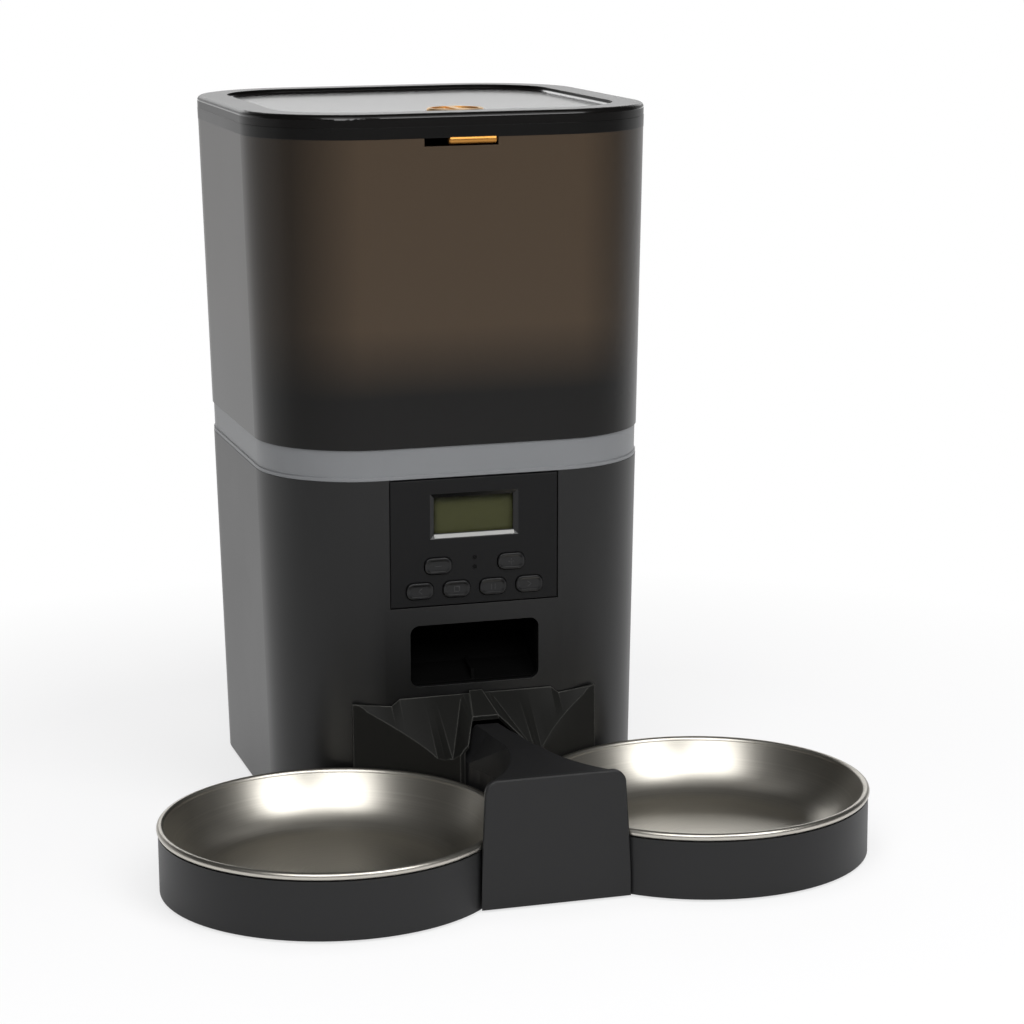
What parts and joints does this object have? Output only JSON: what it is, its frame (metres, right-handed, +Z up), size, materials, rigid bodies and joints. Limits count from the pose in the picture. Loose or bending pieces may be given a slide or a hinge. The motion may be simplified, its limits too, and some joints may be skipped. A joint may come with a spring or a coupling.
{
  "type": "automatic pet feeder",
  "caption": "Automatic dry-food feeder: smoked hopper with lockable lid over a powered base, with a food outlet, a splitter and a docked stand holding twin steel bowls.",
  "frame": {"origin": "centre of the feeder's footprint on the floor, halfway across the bowls and halfway from the bowls' front to the lid's back", "axes": "+Z up, -Y towards the bowls and the pet, +Y towards the back of the column, +X to the right seen from the front"},
  "size_m": [0.304, 0.3259, 0.31],
  "materials": {
    "shell": "satin black, fine grain",
    "smoked_tank": "smoked translucent brown, frosted",
    "smoked_lid": "dark smoked gloss",
    "ring_grey": "mid-grey matt",
    "bowl_steel": "polished and softly brushed",
    "latch_gold": "satin gold",
    "inner_black": "matt black",
    "panel_black": "satin black",
    "key_black": "satin black",
    "display_olive": "reflective olive display",
    "clear_window": "clear",
    "light_dark": "dark clear pin",
    "rubber_black": "matt",
    "silicone": "translucent grey silicone",
    "board_green": "solder-mask green",
    "steel_small": "nickel-plated",
    "gear_white": "natural white nylon",
    "rotor_green": "dark grey",
    "pack_white": "white woven paper",
    "motor_can": "zinc-plated"
  },
  "bodies": {
    "base": {"base_housing": "shell", "base_plate": "shell", "battery_contacts": "steel_small", "base_screws": "steel_small", "column_feet": "rubber_black", "waist_ring": "ring_grey", "control_panel": "panel_black", "keypad_mat": "silicone", "window_lens": "clear_window", "display_module": "display_olive", "indicator_lights": "light_dark", "circuit_board": "board_green", "board_screws": "steel_small", "dc_inlet": "inner_black", "metering_cup": "inner_black", "cup_screws": "steel_small", "discharge_shield": "inner_black", "wiper_blades": "silicone", "gearbox_housing": "inner_black", "gearbox_cover": "inner_black", "idler_pin": "steel_small", "feed_motor": "motor_can", "feed_chute": "inner_black"},
    "battery_door": {"battery_door": "shell"},
    "rotor": {"portion_rotor": "rotor_green", "drive_shaft": "steel_small", "output_gear": "gear_white"},
    "idler": {"idler_gear": "gear_white"},
    "pinion": {"motor_pinion": "latch_gold"},
    "hopper": {"hopper_tank": "smoked_tank", "hopper_funnel": "inner_black"},
    "lid": {"lid_cover": "smoked_lid", "lid_liner": "inner_black", "lid_seal": "silicone"},
    "knob": {"lock_knob": "latch_gold"},
    "bolt": {"lock_bolt": "latch_gold"},
    "desiccant": {"desiccant_cover": "inner_black", "desiccant_pack": "pack_white"},
    "stand": {"bowl_tray": "shell", "tray_pads": "rubber_black", "front_plate": "shell", "bridge_cover": "shell"},
    "splitter": {"food_splitter": "shell"},
    "left_bowl": {"bowl_left": "bowl_steel"},
    "right_bowl": {"bowl_right": "bowl_steel"},
    "button_upper_left_key": {"button_upper_left": "key_black"},
    "button_upper_right_key": {"button_upper_right": "key_black"},
    "button_lower_far_left_key": {"button_lower_far_left": "key_black"},
    "button_lower_left_key": {"button_lower_left": "key_black"},
    "button_lower_right_key": {"button_lower_right": "key_black"},
    "button_lower_far_right_key": {"button_lower_far_right": "key_black"}
  },
  "joints": [
    {"name": "hopper_lift", "type": "slide", "parent": "base", "child": "hopper", "axis": [0, 0, 1], "range_m": [0, 0.1]},
    {"name": "lid_lift", "type": "slide", "parent": "hopper", "child": "lid", "axis": [0, 0, 1], "range_m": [0, 0.06]},
    {"name": "knob_turn", "type": "hinge", "parent": "lid", "child": "knob", "pos_m": [0, -0.00142, 0.31], "axis": [0, 0, 1], "range_deg": [-60, 0]},
    {"name": "bolt_slide", "type": "slide", "parent": "lid", "child": "bolt", "axis": [1, 0, 0], "range_m": [-0.01, 0]},
    {"name": "desiccant_drop", "type": "slide", "parent": "lid", "child": "desiccant", "axis": [0, 0, -1], "range_m": [0, 0.008]},
    {"name": "button_upper_left_press", "type": "slide", "parent": "base", "child": "button_upper_left_key", "axis": [0, 0.9997, 0.0229], "range_m": [0, 0.0008], "stiffness_N_per_m": 600, "springref_m": -0.0005},
    {"name": "button_upper_right_press", "type": "slide", "parent": "base", "child": "button_upper_right_key", "axis": [0, 0.9997, 0.0229], "range_m": [0, 0.0008], "stiffness_N_per_m": 600, "springref_m": -0.0005},
    {"name": "button_lower_far_left_press", "type": "slide", "parent": "base", "child": "button_lower_far_left_key", "axis": [0, 0.9997, 0.0229], "range_m": [0, 0.0008], "stiffness_N_per_m": 600, "springref_m": -0.0005},
    {"name": "button_lower_left_press", "type": "slide", "parent": "base", "child": "button_lower_left_key", "axis": [0, 0.9997, 0.0229], "range_m": [0, 0.0008], "stiffness_N_per_m": 600, "springref_m": -0.0005},
    {"name": "button_lower_right_press", "type": "slide", "parent": "base", "child": "button_lower_right_key", "axis": [0, 0.9997, 0.0229], "range_m": [0, 0.0008], "stiffness_N_per_m": 600, "springref_m": -0.0005},
    {"name": "button_lower_far_right_press", "type": "slide", "parent": "base", "child": "button_lower_far_right_key", "axis": [0, 0.9997, 0.0229], "range_m": [0, 0.0008], "stiffness_N_per_m": 600, "springref_m": -0.0005},
    {"name": "rotor_spin", "type": "hinge", "parent": "base", "child": "rotor", "pos_m": [0, 0.06657, 0.1232], "axis": [0, 0, 1], "continuous": true},
    {"name": "idler_spin", "type": "hinge", "parent": "base", "child": "idler", "pos_m": [0, 0.08857, 0.1106], "axis": [0, 0, 1], "continuous": true},
    {"name": "motor_spin", "type": "hinge", "parent": "base", "child": "pinion", "pos_m": [0, 0.11057, 0.1022], "axis": [0, 0, 1], "continuous": true},
    {"name": "battery_door_slide", "type": "slide", "parent": "base", "child": "battery_door", "axis": [0, 1, 0], "range_m": [0, 0.008]},
    {"name": "stand_pull", "type": "slide", "parent": "base", "child": "stand", "axis": [0, -1, 0], "range_m": [0, 0.04]},
    {"name": "splitter_lift", "type": "slide", "parent": "stand", "child": "splitter", "axis": [0, 0, 1], "range_m": [0, 0.02]},
    {"name": "left_bowl_lift", "type": "slide", "parent": "stand", "child": "left_bowl", "axis": [0, 0, 1], "range_m": [0, 0.03]},
    {"name": "right_bowl_lift", "type": "slide", "parent": "stand", "child": "right_bowl", "axis": [0, 0, 1], "range_m": [0, 0.03]}
  ],
  "couplings": [
    {"joint": "bolt_slide", "follows": "knob_turn", "m_per_rad": 0.00954},
    {"joint": "idler_spin", "follows": "rotor_spin", "ratio": -2.1429},
    {"joint": "motor_spin", "follows": "rotor_spin", "ratio": 5.7143}
  ]
}
